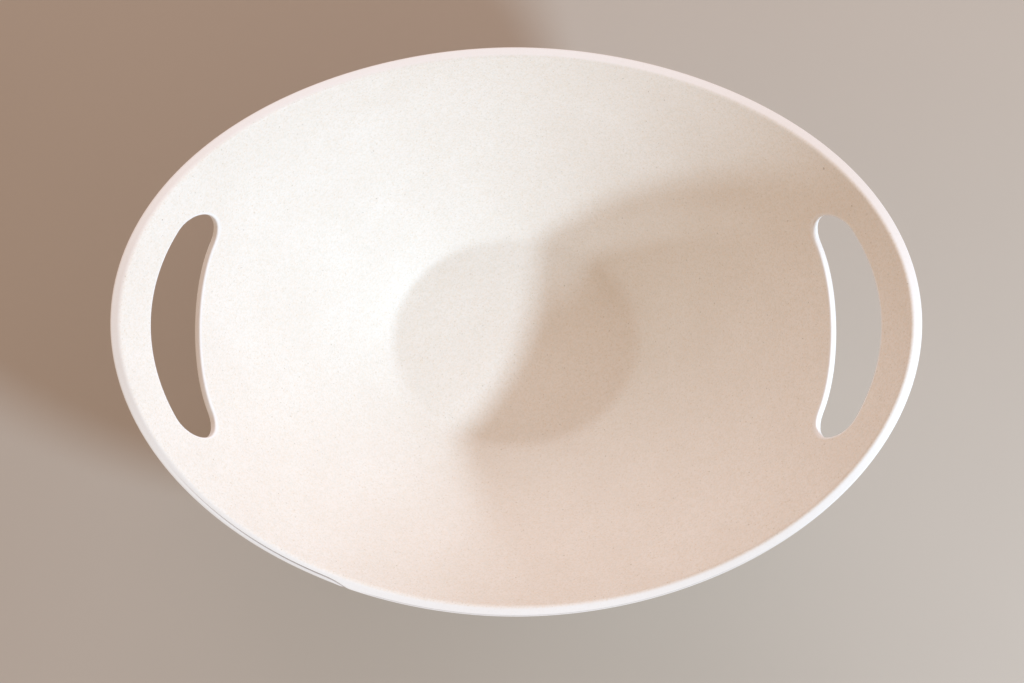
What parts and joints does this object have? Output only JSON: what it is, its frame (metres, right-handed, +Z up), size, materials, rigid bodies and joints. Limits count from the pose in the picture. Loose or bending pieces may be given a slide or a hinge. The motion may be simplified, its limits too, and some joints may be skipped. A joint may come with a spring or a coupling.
{
  "type": "oval serving bowl",
  "caption": "Large oval serving bowl with a saddle-shaped rim, a kidney-shaped hand slot in each raised end and anti-slip foot pads.",
  "frame": {"origin": "middle of the plane that the bowl stands on, under the centre of the floor", "axes": "+X runs along the bowl's length to the right-hand slot, +Y across it to the rear, +Z up"},
  "size_m": [0.3798, 0.2878, 0.1598],
  "materials": {
    "moulding": "matte moulded cream composite with fine tan and grey flecks",
    "pad": "matte warm grey silicone"
  },
  "bodies": {
    "root": {"bowl_shell": "moulding", "foot_pad_front_left": "pad", "foot_pad_front_right": "pad", "foot_pad_rear_left": "pad", "foot_pad_rear_right": "pad"}
  },
  "joints": []
}
